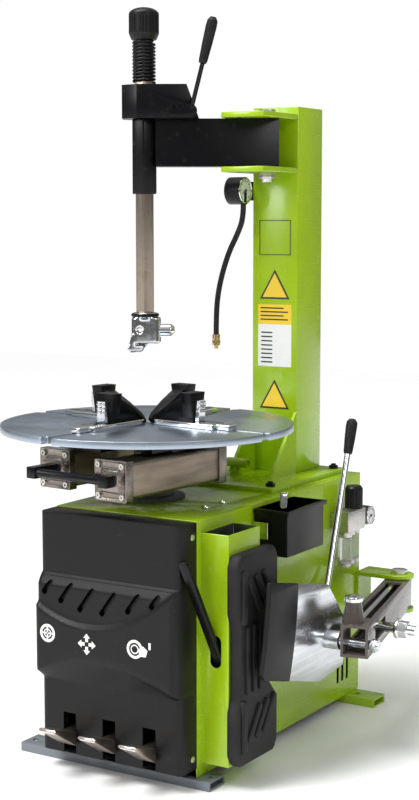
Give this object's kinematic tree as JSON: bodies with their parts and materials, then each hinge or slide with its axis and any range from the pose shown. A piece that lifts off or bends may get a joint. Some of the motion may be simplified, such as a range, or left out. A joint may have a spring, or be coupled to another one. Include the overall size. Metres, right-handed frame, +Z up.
{
  "type": "tyre changer",
  "caption": "Free-standing swing-arm tyre changer: pedal cabinet, self-centring clamp turntable, sprung mounting shaft on a column and a side bead breaker.",
  "frame": {"origin": "centre of the four floor anchor holes, on the floor plane", "axes": "+Z up along the column, +X to the right of an operator who faces the machine, +Y from the operator to the column"},
  "size_m": [0.854, 0.931, 1.64],
  "materials": {
    "green_paint": "gloss powder coat, lime green",
    "black_coat": "satin black powder coat",
    "black_moulding": "textured black moulded plastic",
    "black_rubber": "matt black rubber",
    "grey_paint": "grey powder coat",
    "taupe_paint": "taupe grey paint",
    "table_steel": "turned and ground steel",
    "shaft_steel": "drawn bright steel bar",
    "cast_chrome": "polished casting",
    "zinc": "zinc-plated steel",
    "anodised": "champagne anodised extrusion",
    "cast_alloy": "die-cast aluminium",
    "blade_steel": "polished steel sheet",
    "pedal_steel": "plated pressed steel",
    "brass": "turned brass",
    "clear_bowl": "clear moulded bowl",
    "motor_grey": "painted casting",
    "belt_rubber": "drive belt rubber"
  },
  "bodies": {
    "base": {"air_bowls": "clear_bowl", "air_head": "cast_alloy", "arm_bracket": "green_paint", "arm_pivot": "zinc", "breaker_bracket": "green_paint", "breaker_cylinder": "motor_grey", "breaker_pin": "zinc", "cabinet_shell": "green_paint", "column": "green_paint", "column_base": "green_paint", "column_bolts": "black_coat", "cover_screws": "zinc", "drive_belt": "belt_rubber", "front_cover": "black_moulding", "front_foot": "grey_paint", "gauge_body": "black_moulding", "gearbox": "motor_grey", "hose_end": "brass", "inflation_hose": "black_rubber", "motor": "motor_grey", "pedal_shaft": "zinc", "rear_foot": "green_paint", "support_pad": "black_rubber", "tool_tray": "black_moulding", "wheel_support": "green_paint"},
    "swing_arm_body": {"swing_arm": "black_coat", "arm_sleeve": "black_coat", "clamp_block": "black_coat", "return_spring": "black_coat"},
    "lock": {"lock_lever": "black_coat", "lock_grip": "black_rubber"},
    "head": {"hex_shaft": "shaft_steel", "shaft_cap": "black_moulding", "mount_head": "cast_chrome", "head_roller": "pedal_steel"},
    "turntable": {"turntable_disc": "table_steel", "table_hub": "cast_alloy", "table_frame": "black_coat", "cylinder_bodies": "anodised", "cylinder_caps": "cast_alloy"},
    "breaker": {"breaker_arm": "taupe_paint"},
    "pull_rod": {"breaker_rod": "cast_chrome"},
    "blade": {"breaker_blade": "blade_steel", "blade_lever": "cast_chrome", "blade_grip": "black_rubber"},
    "regulator": {"regulator_knob": "black_moulding"},
    "loose_lever": {"tyre_lever": "black_coat"},
    "gearbox_wheel": {"gear_pulley": "cast_alloy"},
    "motor_wheel": {"motor_pulley": "cast_alloy"},
    "jaw_1": {"jaw_slide_1": "cast_chrome", "jaw_claw_1": "black_coat"},
    "jaw_2": {"jaw_slide_2": "cast_chrome", "jaw_claw_2": "black_coat"},
    "jaw_3": {"jaw_slide_3": "cast_chrome", "jaw_claw_3": "black_coat"},
    "jaw_4": {"jaw_slide_4": "cast_chrome", "jaw_claw_4": "black_coat"},
    "pedal_body_1": {"pedal_1": "pedal_steel"},
    "pedal_body_2": {"pedal_2": "pedal_steel"},
    "pedal_body_3": {"pedal_3": "pedal_steel"}
  },
  "joints": [
    {"name": "arm_swing", "type": "hinge", "parent": "base", "child": "swing_arm_body", "pos_m": [0.064, 0.169, 1.335], "axis": [0, 0, 1], "range_deg": [-20, 95]},
    {"name": "lock_turn", "type": "hinge", "parent": "swing_arm_body", "child": "lock", "pos_m": [-0.08398, 0.07938, 1.405], "axis": [0.518, -0.8554, 0], "range_deg": [-65, 0]},
    {"name": "shaft_slide", "type": "slide", "parent": "swing_arm_body", "child": "head", "axis": [0, 0, 1], "range_m": [0, 0.2], "deforming": ["return_spring"]},
    {"name": "table_spin", "type": "hinge", "parent": "base", "child": "turntable", "pos_m": [-0.04, -0.171, 0.62], "axis": [0, 0, 1], "continuous": true},
    {"name": "breaker_swing", "type": "hinge", "parent": "base", "child": "breaker", "pos_m": [0.306, 0.395, 0.27], "axis": [0, 0, 1], "range_deg": [0, 18]},
    {"name": "rod_slide", "type": "slide", "parent": "base", "child": "pull_rod", "axis": [1, 0, 0], "range_m": [0, 0.12]},
    {"name": "blade_tilt", "type": "hinge", "parent": "breaker", "child": "blade", "pos_m": [0.4, -0.051, 0.262], "axis": [1, 0, 0], "range_deg": [-20, 0]},
    {"name": "regulator_turn", "type": "hinge", "parent": "base", "child": "regulator", "pos_m": [0.241, 0.278, 0.51], "axis": [0, 0, 1], "range_deg": [-160, 160]},
    {"name": "lever_lift", "type": "slide", "parent": "base", "child": "loose_lever", "axis": [-0.1171, -0.386, 0.915], "range_m": [0, 0.12]},
    {"name": "jaw_1_slide", "type": "slide", "parent": "turntable", "child": "jaw_1", "axis": [0.9945, -0.1045, 0], "range_m": [0, 0.105]},
    {"name": "jaw_2_slide", "type": "slide", "parent": "turntable", "child": "jaw_2", "axis": [0.1045, 0.9945, 0], "range_m": [0, 0.105]},
    {"name": "jaw_3_slide", "type": "slide", "parent": "turntable", "child": "jaw_3", "axis": [-0.9945, 0.1045, 0], "range_m": [0, 0.105]},
    {"name": "jaw_4_slide", "type": "slide", "parent": "turntable", "child": "jaw_4", "axis": [-0.1045, -0.9945, 0], "range_m": [0, 0.105]},
    {"name": "pedal_1_press", "type": "hinge", "parent": "base", "child": "pedal_body_1", "pos_m": [-0.0715, -0.255, 0.083], "axis": [1, 0, 0], "range_deg": [0, 8], "stiffness_Nm_per_rad": 120, "springref_deg": -2.86},
    {"name": "pedal_2_press", "type": "hinge", "parent": "base", "child": "pedal_body_2", "pos_m": [0.029, -0.255, 0.083], "axis": [1, 0, 0], "range_deg": [0, 8], "stiffness_Nm_per_rad": 120, "springref_deg": -2.86},
    {"name": "pedal_3_press", "type": "hinge", "parent": "base", "child": "pedal_body_3", "pos_m": [0.1295, -0.255, 0.083], "axis": [1, 0, 0], "range_deg": [-5, 8], "stiffness_Nm_per_rad": 120, "springref_deg": -0.69},
    {"name": "gear_pulley_spin", "type": "hinge", "parent": "base", "child": "gearbox_wheel", "pos_m": [-0.04, -0.283, 0.454], "axis": [0, 1, 0], "continuous": true},
    {"name": "motor_pulley_spin", "type": "hinge", "parent": "base", "child": "motor_wheel", "pos_m": [0.11, -0.283, 0.279], "axis": [0, 1, 0], "continuous": true}
  ],
  "couplings": [
    {"joint": "jaw_2_slide", "follows": "jaw_1_slide", "ratio": 1},
    {"joint": "jaw_3_slide", "follows": "jaw_1_slide", "ratio": 1},
    {"joint": "jaw_4_slide", "follows": "jaw_1_slide", "ratio": 1},
    {"joint": "rod_slide", "follows": "breaker_swing", "m_per_rad": 0.3756},
    {"joint": "gear_pulley_spin", "follows": "table_spin", "ratio": 40},
    {"joint": "motor_pulley_spin", "follows": "table_spin", "ratio": 76.364}
  ]
}
